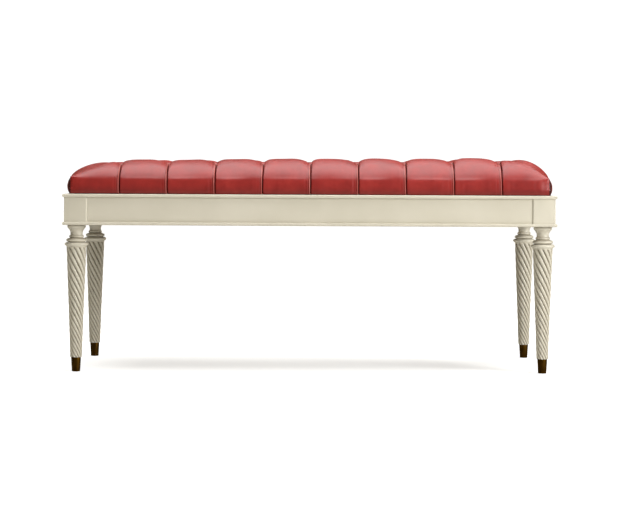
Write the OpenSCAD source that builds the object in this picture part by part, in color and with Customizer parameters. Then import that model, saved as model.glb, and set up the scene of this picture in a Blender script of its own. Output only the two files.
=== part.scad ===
// Piano bench: painted frame on four rope-twist legs, with a fixed deep-buttoned leather seat.
// Millimetres. X is the length, -Y the front, +Z up. The origin is on the floor, in the middle.

/* [Overall] */
// Length over the top moulding
bench_length = 1220; // [900:5:1400]
// Depth over the top moulding
bench_depth = 457; // [380:1:520]
// Height of the underside of the apron above the floor
leg_height = 363; // [300:1:440]
// Height of the apron, with both mouldings
apron_height = 77; // [60:1:100]
// Height of the crowned seat above the apron
seat_height = 88; // [75:1:110]

/* [Apron] */
// Width of the square corner posts
post_width = 58; // [50:1:70]
// Chamfer on the two inner vertical edges of a post's outer faces
post_chamfer = 4; // [2:0.5:6]
// How far the rails lie behind the faces of the posts
rail_recess = 3; // [2:0.5:6]
// Thickness of the rails
rail_thickness = 20; // [16:1:26]
// Thickness of the rail tenons
tenon_thickness = 8; // [6:1:10]
// Length of the rail tenons
tenon_length = 16; // [10:1:20]
// Shoulder above and below the rail tenons
tenon_shoulder = 8; // [4:1:12]

/* [Mouldings] */
// Thickness of the top moulding
top_moulding_height = 8; // [6:1:12]
// Overhang of the top moulding past the posts
top_overhang = 4; // [3:0.5:8]
// Height of the bead round the bottom of the apron
bead_height = 8; // [6:1:12]
// How far the bead stands out past the posts
bead_overhang = 4; // [3:0.5:8]

/* [Legs] */
// Distance of a leg's axis inside the outer faces of its post
leg_inset = 28; // [26:1:34]
// Height of the turned head of a leg
leg_head_height = 55; // [46:1:66]
// Widest diameter of the turned head
leg_head_diameter = 59; // [50:1:64]
// Diameter of the twist at the top, over the strands
twist_top_diameter = 49; // [40:1:54]
// Diameter of the twist at the bottom, over the strands
twist_bottom_diameter = 29; // [26:1:36]
// Number of strands in the rope twist
strand_count = 11; // [8:1:14]
// Angle of the strands from the horizontal
strand_angle = 60; // [50:1:70]
// Depth of the grooves between the strands, as a share of the radius
groove_share = 0.1; // [0.05:0.01:0.16]

/* [Ferrules] */
// Height of a ferrule
ferrule_height = 35.5; // [28:0.5:45]
// Outer diameter of a ferrule at its rim
ferrule_top_diameter = 24.5; // [22:0.5:27]
// Outer diameter of a ferrule at the floor
ferrule_bottom_diameter = 20.6; // [18:0.5:22]
// Wall of a ferrule
ferrule_wall = 1.2; // [0.8:0.1:2]
// Thickness of a ferrule's bottom
ferrule_floor = 2.5; // [1.5:0.5:4]

/* [Leg fixings] */
// Diameter of the hanger bolts
hanger_diameter = 8; // [6:1:10]
// Depth of a hanger bolt in its leg
hanger_leg_depth = 38; // [25:1:45]
// Depth of a hanger bolt above the underside of the apron
hanger_post_depth = 30; // [22:1:40]
// Outer diameter of the threaded inserts
insert_diameter = 13; // [11:0.5:16]
// Length of the threaded inserts
insert_length = 16; // [12:1:20]
// Diameter of the ferrule pins
ferrule_pin_diameter = 1.8; // [1.2:0.1:2.5]
// Length of the ferrule pins
ferrule_pin_length = 8; // [5:0.5:9]

/* [Bearers] */
// Width of the bearers under the seat
bearer_width = 45; // [35:1:60]
// Height of the bearers
bearer_height = 28; // [22:1:34]
// Depth of the housings for the bearers in the rails
bearer_housing = 8; // [5:1:12]
// Distance of the outer bearers from the middle
bearer_spacing = 400; // [250:5:420]
// Shoulder round the stub tenons of the bearers
bearer_shoulder = 5; // [3:0.5:7]
// Gap between the bearers and the dust cover, which clears the staples
bearer_gap = 1; // [1:0.1:2]

/* [Seat] */
// Distance of the seat's fullest sides behind the edge of the top moulding
seat_margin = 13; // [10:1:24]
// How far the seat's sides draw in at the bottom and at the crown
seat_tuck = 5; // [2:0.5:8]
// Thickness of the plywood deck
deck_thickness = 12; // [9:1:18]
// Thickness of the leather
leather_thickness = 1.5; // [1:0.1:2.5]
// Thickness of the wadding under the leather
wadding_thickness = 8; // [4:1:12]
// Width of the leather turned under the deck
turn_under = 30; // [24:1:40]
// Thickness of the dust cover
dust_thickness = 0.6; // [0.4:0.1:1]
// Distance of the dust cover inside the sides of the seat
dust_margin = 8; // [5:1:12]
// Height of the seat's upright sides before the crown begins
seat_side = 40; // [30:1:50]
// Radius of the seat's upright corners
seat_corner = 24; // [16:1:40]
// Length of the crown's slope at the two ends
end_slope = 118; // [80:1:140]
// Length of the crown's slope at the front and rear
front_slope = 88; // [60:1:110]

/* [Tufting] */
// Number of pleated panels along the front
panel_count = 10; // [6:1:12]
// Number of rows of tufts, from front to back
tuft_rows = 5; // [3:2:7]
// Distance of the first row of tufts behind the seat's front
tuft_front = 100; // [85:1:120]
// Diameter of the well round a tuft button
well_diameter = 26; // [24:1:32]
// Depth of the button tops under the crown
well_depth = 26; // [18:1:32]
// Diameter of the buttons
button_diameter = 22; // [18:0.5:24]
// Thickness of the buttons
button_thickness = 7; // [5:0.5:9]
// Diameter of the button twines
twine_diameter = 1.6; // [1.2:0.1:2.4]
// Diameter of the twine anchors under the deck
anchor_diameter = 12; // [8:0.5:16]

/* [Small fixings] */
// Diameter of the seat screws
screw_diameter = 5; // [4:0.5:6]
// Diameter of the seat screw heads
screw_head = 10; // [8:0.5:12]
// Depth of the seat screws in the deck
screw_bite = 9; // [6:0.5:11]
// Width of the staples
staple_width = 10; // [8:0.5:14]
// Thickness of the staple wire
staple_wire = 0.8; // [0.6:0.1:1.2]
// Depth of the staple legs above the dust cover
staple_depth = 9; // [6:0.5:10]
// Distance between the staples
staple_spacing = 80; // [50:5:120]
// Distance of the seat screws from the middle row of tufts
screw_spread = 83; // [60:1:90]
// Clearance round everything that passes through another piece
pierce_clearance = 0.1; // [0.05:0.05:0.3]

/* [Hidden] */
$fn = 48;

// Heights above the floor
apron_top = leg_height + apron_height;
rail_top = apron_top - top_moulding_height;
bearer_top = apron_top - bearer_gap;
bearer_bottom = bearer_top - bearer_height;
leather_bottom = apron_top + dust_thickness;
deck_bottom = leather_bottom + leather_thickness;
deck_top = deck_bottom + deck_thickness;
seat_top = apron_top + seat_height;
button_bottom = seat_top - well_depth - button_thickness;
twist_bottom = ferrule_height;
twist_top = leg_height - leg_head_height;

// Radii of the turned head, as shares of its widest ring
head_disc_share = 0.78;
head_cove_share = 0.70;
head_neck_share = 0.515;
head_small_ring_share = 0.62;
head_torus_share = 0.86;
// Heights in the turned head, measured down from its top, as shares of the head's height
head_disc_start = 0.015;
head_disc_end = 0.13;
head_cove_start = 0.155;
head_cove_end = 0.364;
head_neck_end = 0.452;
head_small_ring_start = 0.464;
head_small_ring_end = 0.565;
head_torus_start = 0.598;
head_torus_end = 0.775;
head_quirk = 0.787;
head_ring_start = 0.849;
head_ring_end = 0.882;
head_band_shoulder = 0.953;
head_band_start = 0.967;

// Half sizes in plan
post_face_x = bench_length / 2 - top_overhang;
post_face_y = bench_depth / 2 - top_overhang;
rail_face_x = post_face_x - rail_recess;
rail_face_y = post_face_y - rail_recess;
rail_inside_x = rail_face_x - rail_thickness;
rail_inside_y = rail_face_y - rail_thickness;
top_moulding_width = top_overhang + rail_recess + rail_thickness;
bead_width = rail_recess + bead_overhang;
leg_x = post_face_x - leg_inset;
leg_y = post_face_y - leg_inset;
seat_half_length = bench_length / 2 - seat_margin;
seat_half_depth = bench_depth / 2 - seat_margin;
base_half_length = seat_half_length - seat_tuck;
base_half_depth = seat_half_depth - seat_tuck;

// Tufting: alternate rows are shifted by half a panel
panel_width = 2 * base_half_length / panel_count;
first_row = base_half_depth - tuft_front;
row_spacing = 2 * first_row / (tuft_rows - 1);
tufts = [
    for (row = [0 : tuft_rows - 1])
        let (count = panel_count - 1 - row % 2)
            for (column = [0 : count - 1])
                [(column - (count - 1) / 2) * panel_width, row * row_spacing - first_row]
];

// The four corners as signs of x and y
front_left = [-1, -1];
front_right = [1, -1];
rear_left = [-1, 1];
rear_right = [1, 1];
corners = [front_left, front_right, rear_left, rear_right];

// ---------------------------------------------------------------- seat

side_steps = 6;
crown_steps = 9;
crown_power = 4 / 3;

// One side of the seat's section, from the bottom up to the start of the flat crown
function side_outline(half, slope, inset) =
    let (
        low = leather_bottom + inset,
        shoulder = apron_top + seat_side,
        rise = seat_top - inset - shoulder,
        edge = half - inset - seat_tuck
    )
    concat(
        [for (i = [0 : side_steps])
            [edge + seat_tuck * sin(180 * i / side_steps), low + (shoulder - low) * i / side_steps]],
        [for (i = [1 : crown_steps])
            let (turn = 90 * i / crown_steps)
                [edge - slope * (1 - pow(cos(turn), crown_power)), shoulder + rise * pow(sin(turn), crown_power)]]
    );

// The whole section, with the second side mirrored and taken downwards
function seat_outline(half, slope, inset) =
    let (
        right = side_outline(half, slope, inset),
        last = len(right) - 1
    )
    concat(right, [for (i = [0 : last]) [-right[last - i][0], right[last - i][1]]]);

// A block with round upright edges
module round_block(half_length, half_depth, radius, low, high) {
    translate([0, 0, low])
        linear_extrude(high - low) {
            square([2 * half_length, 2 * (half_depth - radius)], center = true);
            square([2 * (half_length - radius), 2 * half_depth], center = true);
            for (corner = corners)
                translate([corner[0] * (half_length - radius), corner[1] * (half_depth - radius)])
                    circle(radius);
        }
}

// The crowned form of the seat, drawn in by inset on all sides
module seat_form(inset) {
    intersection() {
        rotate([90, 0, 0])
            linear_extrude(bench_depth, center = true)
                polygon(seat_outline(seat_half_length, end_slope, inset));
        rotate([90, 0, 90])
            linear_extrude(bench_length, center = true)
                polygon(seat_outline(seat_half_depth, front_slope, inset));
        round_block(seat_half_length - inset, seat_half_depth - inset, seat_corner - inset,
            apron_top, seat_top);
    }
}

// Upright cylinders at all the tufts
module at_tufts(diameter, low, high) {
    for (tuft = tufts)
        translate([tuft[0], tuft[1], low])
            cylinder(d = diameter, h = high - low);
}

// The filling between two insets, above the deck and round the tuft wells
module seat_filling(outer_inset) {
    difference() {
        intersection() {
            seat_form(outer_inset);
            translate([0, 0, deck_top])
                linear_extrude(seat_height)
                    square([bench_length, bench_depth], center = true);
        }
        at_tufts(well_diameter + 2 * leather_thickness, button_bottom - leather_thickness, seat_top + 1);
        at_tufts(twine_diameter + 2 * pierce_clearance, apron_top, seat_top);
    }
}

// Shanks of the seat screws, widened by a clearance
module screw_shanks(clearance) {
    for (x = [-bearer_spacing, 0, bearer_spacing])
        for (y = [-screw_spread, screw_spread])
            translate([x, y, bearer_bottom])
                cylinder(d = screw_diameter + 2 * clearance, h = deck_bottom + screw_bite - bearer_bottom);
}

// Places of the staples on the turned-under leather, just inside the top moulding
staple_x = (rail_inside_x + base_half_length - turn_under) / 2;
staple_y = (rail_inside_y + base_half_depth - turn_under) / 2;
staple_columns = floor(2 * (staple_x - staple_width) / staple_spacing);
staple_rows = floor(2 * (staple_y - staple_width) / staple_spacing);

module at_staples() {
    for (side = [-1, 1]) {
        for (i = [-staple_columns / 2 : staple_columns / 2])
            translate([i * staple_spacing, side * staple_y, 0])
                children();
        for (i = [-staple_rows / 2 : staple_rows / 2])
            translate([side * staple_x, i * staple_spacing, 0])
                rotate([0, 0, 90])
                    children();
    }
}

module staple_legs(clearance) {
    size = staple_wire + 2 * clearance;
    for (side = [-1, 1])
        translate([side * (staple_width - staple_wire) / 2 - size / 2, -size / 2, apron_top])
            cube([size, size, staple_depth]);
}

module staple() {
    staple_legs(0);
    translate([-staple_width / 2, -staple_wire / 2, apron_top - staple_wire])
        cube([staple_width, staple_wire, staple_wire]);
}

module seat_deck() {
    color("burlywood")
        difference() {
            round_block(base_half_length - leather_thickness, base_half_depth - leather_thickness,
                seat_corner - seat_tuck - leather_thickness, deck_bottom, deck_top);
            at_tufts(twine_diameter + 2 * pierce_clearance, deck_bottom - 1, deck_top + 1);
            screw_shanks(0);
            at_staples() staple_legs(pierce_clearance);
        }
}

module seat_foam() {
    color("khaki")
        seat_filling(leather_thickness + wadding_thickness);
}

module seat_wadding() {
    color("white")
        difference() {
            seat_filling(leather_thickness);
            seat_form(leather_thickness + wadding_thickness);
        }
}

module leather_cover() {
    color("firebrick")
        difference() {
            union() {
                difference() {
                    seat_form(0);
                    seat_form(leather_thickness);
                }
                intersection() {
                    seat_form(0);
                    at_tufts(well_diameter + 2 * leather_thickness, button_bottom - leather_thickness, seat_top);
                }
            }
            at_tufts(well_diameter, button_bottom, seat_top + 1);
            at_tufts(twine_diameter + 2 * pierce_clearance, apron_top, seat_top);
            round_block(base_half_length - turn_under, base_half_depth - turn_under,
                seat_tuck, apron_top, deck_bottom);
            at_staples() staple_legs(pierce_clearance);
        }
}

module tuft_buttons() {
    color("maroon")
        for (tuft = tufts)
            translate([tuft[0], tuft[1], button_bottom])
                intersection() {
                    cylinder(d = button_diameter, h = button_thickness);
                    translate([0, 0, button_thickness - button_diameter])
                        sphere(r = button_diameter);
                }
}

module button_twines() {
    color("beige")
        at_tufts(twine_diameter, leather_bottom, button_bottom);
}

module twine_anchors() {
    color("gray")
        difference() {
            at_tufts(anchor_diameter, leather_bottom, deck_bottom);
            at_tufts(twine_diameter + 2 * pierce_clearance, apron_top, seat_top);
        }
}

module cover_staples() {
    color("silver")
        at_staples() staple();
}

module dust_cover() {
    color("dimgray")
        difference() {
            round_block(base_half_length - dust_margin, base_half_depth - dust_margin, seat_tuck,
                apron_top, leather_bottom);
            screw_shanks(pierce_clearance);
            at_staples() staple_legs(pierce_clearance);
        }
}

// ---------------------------------------------------------------- apron

// A rail along X between two posts, with its outer face towards -Y
module rail(half_length, face) {
    tenon_height = rail_top - leg_height - 2 * tenon_shoulder;
    translate([-half_length, -face, leg_height])
        cube([2 * half_length, rail_thickness, rail_top - leg_height]);
    translate([-half_length - tenon_length, -face + (rail_thickness - tenon_thickness) / 2,
        leg_height + tenon_shoulder])
        cube([2 * (half_length + tenon_length), tenon_thickness, tenon_height]);
}

module long_rail(turn) {
    color("ivory")
        difference() {
            rotate([0, 0, turn]) rail(post_face_x - post_width, rail_face_y);
            for (x = [-bearer_spacing, 0, bearer_spacing])
                bearer_tenons(x);
        }
}

module short_rail(turn) {
    color("ivory")
        rotate([0, 0, turn]) rail(post_face_y - post_width, rail_face_x);
}

module front_rail() { long_rail(0); }
module rear_rail() { long_rail(180); }
module left_rail() { short_rail(-90); }
module right_rail() { short_rail(90); }

// Plan of a post in the +X +Y corner
module post_plan() {
    inner = -post_width;
    translate([post_face_x, post_face_y])
        polygon([
            [0, 0], [inner + post_chamfer, 0], [inner, -post_chamfer],
            [inner, inner], [-post_chamfer, inner], [0, inner + post_chamfer]
        ]);
}

module post(corner) {
    color("ivory")
        difference() {
            mirror_to(corner)
                difference() {
                    translate([0, 0, leg_height])
                        linear_extrude(rail_top - leg_height)
                            post_plan();
                    // rebates that the bead runs through
                    translate([rail_face_x, 0, leg_height - 1])
                        cube([bench_length, bench_depth, bead_height + 1]);
                    translate([0, rail_face_y, leg_height - 1])
                        cube([bench_length, bench_depth, bead_height + 1]);
                    // bore for the threaded insert and the hanger bolt
                    translate([leg_x, leg_y, leg_height - 1])
                        cylinder(d = insert_diameter, h = insert_length + 1);
                    translate([leg_x, leg_y, leg_height])
                        cylinder(d = hanger_diameter + 2 * pierce_clearance, h = hanger_post_depth + 2);
                }
            for (turn = [0, 180]) {
                rotate([0, 0, turn]) rail(post_face_x - post_width, rail_face_y);
                rotate([0, 0, turn + 90]) rail(post_face_y - post_width, rail_face_x);
            }
        }
}

// Mirrors its children from the +X +Y corner into another corner
module mirror_to(corner) {
    mirror([corner[0] < 0 ? 1 : 0, 0, 0])
        mirror([0, corner[1] < 0 ? 1 : 0, 0])
            children();
}

module front_left_post() { post(front_left); }
module front_right_post() { post(front_right); }
module rear_left_post() { post(rear_left); }
module rear_right_post() { post(rear_right); }

// One mitred side of a frame, with its outer edge towards -Y.
// The children are its section, drawn with the outer edge at x = 0 and the height along y.
module mitred_side(half_run, half_across, width, low, height) {
    intersection() {
        translate([-half_run, -half_across, low])
            rotate([90, 0, 90])
                linear_extrude(2 * half_run)
                    children();
        translate([0, 0, low])
            linear_extrude(height)
                polygon([
                    [-half_run, -half_across], [half_run, -half_across],
                    [half_run - width, width - half_across], [width - half_run, width - half_across]
                ]);
    }
}

round_steps = 6;

// A board with a rounded nose: a small round above, a fuller one below
module nose_section(width, height) {
    upper = height * 0.45;
    lower = height * 0.35;
    polygon(concat(
        [[width, height]],
        [for (i = [0 : round_steps])
            let (turn = 90 * i / round_steps)
                [upper * (1 - sin(turn)), height - upper * (1 - cos(turn))]],
        [for (i = [0 : round_steps])
            let (turn = 90 * i / round_steps)
                [lower * (1 - cos(turn)), lower * (1 - sin(turn))]],
        [[width, 0]]
    ));
}

// A half-round bead with a flat back
module bead_section(width, height) {
    polygon(concat(
        [[width, height]],
        [for (i = [0 : 2 * round_steps])
            let (turn = 90 * i / round_steps)
                [bead_overhang * (1 - sin(turn)), height / 2 * (1 + cos(turn))]],
        [[width, 0]]
    ));
}

module top_moulding(turn, half_run, half_across) {
    color("ivory")
        rotate([0, 0, turn])
            mitred_side(half_run, half_across, top_moulding_width, rail_top, top_moulding_height)
                nose_section(top_moulding_width, top_moulding_height);
}

module top_moulding_front() { top_moulding(0, bench_length / 2, bench_depth / 2); }
module top_moulding_rear() { top_moulding(180, bench_length / 2, bench_depth / 2); }
module top_moulding_left() { top_moulding(-90, bench_depth / 2, bench_length / 2); }
module top_moulding_right() { top_moulding(90, bench_depth / 2, bench_length / 2); }

module bottom_bead(turn, half_run, half_across) {
    color("ivory")
        rotate([0, 0, turn])
            mitred_side(half_run + bead_overhang, half_across + bead_overhang, bead_width,
                leg_height, bead_height)
                bead_section(bead_width, bead_height);
}

module bottom_bead_front() { bottom_bead(0, post_face_x, post_face_y); }
module bottom_bead_rear() { bottom_bead(180, post_face_x, post_face_y); }
module bottom_bead_left() { bottom_bead(-90, post_face_y, post_face_x); }
module bottom_bead_right() { bottom_bead(90, post_face_y, post_face_x); }

// ---------------------------------------------------------------- bearers

// The stub tenons at both ends of a bearer, as one bar
module bearer_tenons(x) {
    low = bearer_bottom + bearer_shoulder;
    width = bearer_width - 2 * bearer_shoulder;
    translate([x - width / 2, -rail_inside_y - bearer_housing, low])
        cube([width, 2 * (rail_inside_y + bearer_housing), rail_top - bearer_shoulder - low]);
}

module bearer(x) {
    color("tan")
        difference() {
            union() {
                translate([x - bearer_width / 2, -rail_inside_y, bearer_bottom])
                    cube([bearer_width, 2 * rail_inside_y, bearer_height]);
                bearer_tenons(x);
            }
            seat_screws();
        }
}

module bearer_left() { bearer(-bearer_spacing); }
module bearer_centre() { bearer(0); }
module bearer_right() { bearer(bearer_spacing); }

module seat_screws() {
    head_height = (screw_head - screw_diameter) / 2;
    color("silver") {
        screw_shanks(0);
        for (x = [-bearer_spacing, 0, bearer_spacing])
            for (y = [-screw_spread, screw_spread])
                translate([x, y, bearer_bottom])
                    cylinder(d1 = screw_head, d2 = screw_diameter, h = head_height);
    }
}

// ---------------------------------------------------------------- legs

points_per_strand = 4;
twist_rings = 24;
around = strand_count * points_per_strand;
twist_length = twist_top - twist_bottom;
taper = (twist_top_diameter - twist_bottom_diameter) / 2 / twist_length;

// Radius of the twist at a depth below its top, over the strands
function twist_radius(depth) = twist_top_diameter / 2 - taper * depth;

// Turn of the strands at a depth below the top, for strands that keep one angle as the leg tapers
function twist_turn(depth) =
    ln(twist_top_diameter / 2 / twist_radius(depth)) / taper / tan(strand_angle) * 180 / PI;

// One ring of points round the twist. The strands are round and the grooves between them sharp.
function twist_ring(depth) =
    [for (i = [0 : around - 1])
        let (
            rise = sin(180 * (i % points_per_strand) / points_per_strand),
            radius = twist_radius(depth) * (1 - groove_share * (1 - pow(rise, 0.6))),
            turn = 360 * i / around + twist_turn(depth)
        )
            [radius * cos(turn), radius * sin(turn), twist_top - depth]];

module rope_twist() {
    points = [for (ring = [0 : twist_rings]) each twist_ring(ring * twist_length / twist_rings)];
    sides = [
        for (ring = [0 : twist_rings - 1])
            for (i = [0 : around - 1])
                let (
                    a = ring * around + i,
                    b = ring * around + (i + 1) % around
                )
                    each [[a, b, b + around], [a, b + around, a + around]]
    ];
    top = [for (i = [0 : around - 1]) around - 1 - i];
    bottom = [for (i = [0 : around - 1]) twist_rings * around + i];
    polyhedron(points, concat([top], sides, [bottom]));
}

// Half of a round moulding on the turned head, as outline points from its top to its bottom
function torus_outline(core, radius, high, low) =
    [for (i = [0 : round_steps])
        let (turn = 180 * i / round_steps)
            [core + (radius - core) * sin(turn), (high + low) / 2 + (high - low) / 2 * cos(turn)]];

// Height above the floor of a point in the turned head, from its share of the head's height
function head_z(share) = leg_height - leg_head_height * share;

// The turned head from the top down: disc, cove with a step, neck, small ring, torus, wide ring, band
module turned_head() {
    widest = leg_head_diameter / 2;
    band = twist_top_diameter / 2;
    disc = widest * head_disc_share;
    cove_top = widest * head_cove_share;
    neck = widest * head_neck_share;
    small_ring = widest * head_small_ring_share;
    torus = widest * head_torus_share;
    disc_top = disc * 0.94;
    cove = [for (i = [0 : round_steps])
        let (
            share = i / round_steps,
            radius = neck + (cove_top - neck) * pow(1 - share, 2),
            depth = head_cove_start + (head_cove_end - head_cove_start) * share
        )
            [radius, head_z(depth)]];
    rotate_extrude()
        polygon(concat(
            [[0, leg_height]],
            [[disc_top, leg_height]],
            torus_outline(disc_top, disc, head_z(head_disc_start), head_z(head_disc_end)),
            cove,
            [[neck, head_z(head_neck_end)]],
            torus_outline(neck, small_ring, head_z(head_small_ring_start), head_z(head_small_ring_end)),
            torus_outline(small_ring, torus, head_z(head_torus_start), head_z(head_torus_end)),
            [[torus * 0.98, head_z(head_quirk)]],
            [[widest, head_z(head_ring_start)]],
            [[widest, head_z(head_ring_end)]],
            [[torus, head_z(head_band_shoulder)]],
            [[band, head_z(head_band_start)]],
            [[band, twist_top]],
            [[0, twist_top]]
        ));
}

// Bore or shank of a ferrule pin, on the side of the leg that faces the other end of the bench
pin_height = ferrule_height * 0.62;
pin_outside = ferrule_bottom_diameter / 2
    + (ferrule_top_diameter - ferrule_bottom_diameter) / 2 * pin_height / ferrule_height;

module ferrule_pin() {
    translate([pin_outside - ferrule_pin_length, 0, pin_height])
        rotate([0, 90, 0])
            cylinder(d = ferrule_pin_diameter, h = ferrule_pin_length + 0.1);
}

// Puts a leg, a ferrule or a fixing at its corner, with its own +X side facing inwards
module at_leg(corner) {
    translate([corner[0] * leg_x, corner[1] * leg_y, 0])
        rotate([0, 0, corner[0] > 0 ? 180 : 0])
            children();
}

module leg(corner) {
    color("ivory")
        at_leg(corner)
            difference() {
                union() {
                    turned_head();
                    rope_twist();
                    leg_tip(0);
                }
                translate([0, 0, leg_height - hanger_leg_depth])
                    cylinder(d = hanger_diameter, h = hanger_leg_depth + 1);
                ferrule_pin();
            }
}

// The tapered tip that the ferrule fits over
module leg_tip(clearance) {
    translate([0, 0, ferrule_floor])
        cylinder(
            d1 = ferrule_bottom_diameter - 2 * ferrule_wall - 2 * pierce_clearance + 2 * clearance,
            d2 = ferrule_top_diameter - 2 * ferrule_wall - 2 * pierce_clearance + 2 * clearance,
            h = ferrule_height - ferrule_floor
        );
}

module front_left_leg() { leg(front_left); }
module front_right_leg() { leg(front_right); }
module rear_left_leg() { leg(rear_left); }
module rear_right_leg() { leg(rear_right); }

module ferrule(corner) {
    color("darkgoldenrod")
        at_leg(corner)
            difference() {
                cylinder(d1 = ferrule_bottom_diameter, d2 = ferrule_top_diameter, h = ferrule_height);
                leg_tip(pierce_clearance);
                ferrule_pin();
            }
}

module front_left_ferrule() { ferrule(front_left); }
module front_right_ferrule() { ferrule(front_right); }
module rear_left_ferrule() { ferrule(rear_left); }
module rear_right_ferrule() { ferrule(rear_right); }

module ferrule_pins() {
    color("gold")
        for (corner = corners)
            at_leg(corner) ferrule_pin();
}

module hanger_bolts() {
    color("silver")
        for (corner = corners)
            at_leg(corner)
                translate([0, 0, leg_height - hanger_leg_depth])
                    cylinder(d = hanger_diameter, h = hanger_leg_depth + hanger_post_depth);
}

module threaded_inserts() {
    color("silver")
        for (corner = corners)
            at_leg(corner)
                translate([0, 0, leg_height])
                    difference() {
                        cylinder(d = insert_diameter, h = insert_length);
                        translate([0, 0, -1])
                            cylinder(d = hanger_diameter, h = insert_length + 2);
                    }
}

// ---------------------------------------------------------------- the bench

seat_deck();
seat_foam();
seat_wadding();
leather_cover();
tuft_buttons();
button_twines();
twine_anchors();
cover_staples();
dust_cover();
front_rail();
rear_rail();
left_rail();
right_rail();
front_left_post();
front_right_post();
rear_left_post();
rear_right_post();
top_moulding_front();
top_moulding_rear();
top_moulding_left();
top_moulding_right();
bottom_bead_front();
bottom_bead_rear();
bottom_bead_left();
bottom_bead_right();
bearer_left();
bearer_centre();
bearer_right();
seat_screws();
front_left_leg();
front_right_leg();
rear_left_leg();
rear_right_leg();
hanger_bolts();
threaded_inserts();
front_left_ferrule();
front_right_ferrule();
rear_left_ferrule();
rear_right_ferrule();
ferrule_pins();
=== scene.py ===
import math

import bmesh
import bpy
import numpy as np
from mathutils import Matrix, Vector


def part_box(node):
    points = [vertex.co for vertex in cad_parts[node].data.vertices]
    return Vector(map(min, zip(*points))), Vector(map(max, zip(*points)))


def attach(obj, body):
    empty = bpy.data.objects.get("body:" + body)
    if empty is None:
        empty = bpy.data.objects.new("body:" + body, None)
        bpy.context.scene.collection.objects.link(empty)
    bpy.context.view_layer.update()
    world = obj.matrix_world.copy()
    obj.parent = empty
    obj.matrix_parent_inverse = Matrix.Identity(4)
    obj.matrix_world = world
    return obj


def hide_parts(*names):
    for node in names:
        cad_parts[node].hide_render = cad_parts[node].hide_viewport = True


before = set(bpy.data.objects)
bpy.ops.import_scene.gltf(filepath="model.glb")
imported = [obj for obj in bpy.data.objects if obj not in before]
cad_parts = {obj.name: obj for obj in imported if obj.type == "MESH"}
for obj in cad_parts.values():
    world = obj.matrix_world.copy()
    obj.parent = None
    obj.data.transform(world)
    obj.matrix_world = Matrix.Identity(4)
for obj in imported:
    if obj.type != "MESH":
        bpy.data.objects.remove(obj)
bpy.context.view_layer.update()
MM = 0.001
BODY = "root"


# ---------------------------------------------------------------- camera, lights and floor

def make_camera():
    """A level camera in front of the bench, with its view shifted down on to it."""
    bpy.ops.object.camera_add(
        location=(0.0001, -4.7035, 0.4856),
        rotation=(math.radians(90), math.radians(-0.266), 0),
    )
    camera = bpy.context.object
    camera.name = "camera"
    camera.data.sensor_width = 36
    camera.data.lens = 105.54
    camera.data.shift_y = -0.1445
    camera.data.clip_end = 60
    bpy.context.scene.camera = camera


def area_light(name, place, aim, size, power, colour="#ffffff"):
    """A rectangular soft box that points at aim."""
    bpy.ops.object.light_add(type="AREA", location=place)
    lamp = bpy.context.object
    lamp.name = name
    lamp.data.shape = "RECTANGLE"
    lamp.data.size, lamp.data.size_y = size
    lamp.data.energy = power
    lamp.data.color = linear(colour)[:3]
    lamp.rotation_euler = (Vector(aim) - Vector(place)).to_track_quat("-Z", "Y").to_euler()
    return lamp


def make_studio():
    """A white sweep with a large soft light from the front right and black flags at both sides."""
    area_light("key_light", (3.4, -2.45, 1.7), (0, 0, 0.35), (1.6, 1.6), 126)
    area_light("top_light", (0.2, 0.1, 2.5), (0.2, 0.1, 0), (3.8, 2.6), 100)
    fill = area_light("fill_light", (-1.2, -4.2, 1.5), (0, 0, 0.3), (2.4, 2.0), 12)
    fill.visible_glossy = False
    bpy.ops.mesh.primitive_plane_add(size=40, location=(0, 0, 0))
    floor = bpy.context.object
    floor.name = "floor"
    floor.visible_glossy = False
    floor.data.materials.append(white_floor())
    for side in (-1, 1):
        bpy.ops.mesh.primitive_plane_add(size=2, location=(side * 2.1, 0.2, 1.0),
                                         rotation=(0, math.radians(90), 0))
        flag = bpy.context.object
        flag.name = "flag_left" if side < 0 else "flag_right"
        flag.data.materials.append(black_flag())
        flag.visible_camera = False
        flag.visible_shadow = False
    world = bpy.data.worlds.new("white_studio")
    bpy.context.scene.world = world
    world.use_nodes = True
    tree = world.node_tree
    tree.nodes.clear()
    seen = add(tree, "ShaderNodeBackground", inputs={"Color": linear("#ffffff"), "Strength": 1.1})
    cast = add(tree, "ShaderNodeBackground", inputs={"Color": linear("#f6e4ba"), "Strength": 0.14})
    path = add(tree, "ShaderNodeLightPath")
    both = add(tree, "ShaderNodeMixShader", inputs={
        0: path.outputs["Is Camera Ray"], 1: cast.outputs[0], 2: seen.outputs[0]})
    add(tree, "ShaderNodeOutputWorld", inputs={"Surface": both.outputs[0]})
    bpy.context.scene.view_settings.view_transform = "Standard"


# ---------------------------------------------------------------- materials

def linear(code):
    """An sRGB hex colour as linear red, green, blue and alpha."""
    values = [int(code[i:i + 2], 16) / 255 for i in (1, 3, 5)]
    return [v / 12.92 if v <= 0.04045 else ((v + 0.055) / 1.055) ** 2.4 for v in values] + [1.0]


def add(tree, kind, settings=None, inputs=None, stops=None):
    """Adds a node with its settings, ramp stops, and inputs that are values or other nodes' outputs."""
    made = tree.nodes.new(kind)
    for name, value in (settings or {}).items():
        setattr(made, name, value)
    if stops:
        while len(made.color_ramp.elements) < len(stops):
            made.color_ramp.elements.new(0.5)
        for element, (place, colour) in zip(made.color_ramp.elements, stops):
            element.position = place
            element.color = linear(colour)
    for name, value in (inputs or {}).items():
        if isinstance(value, bpy.types.NodeSocket):
            tree.links.new(value, made.inputs[name])
        else:
            made.inputs[name].default_value = value
    return made


def new_material(name):
    """An empty node material with Object coordinates, and its tree, coordinates and output."""
    material = bpy.data.materials.new(name)
    material.use_nodes = True
    tree = material.node_tree
    tree.nodes.clear()
    place = add(tree, "ShaderNodeTexCoord").outputs["Object"]
    output = add(tree, "ShaderNodeOutputMaterial")
    return material, tree, place, output


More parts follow.
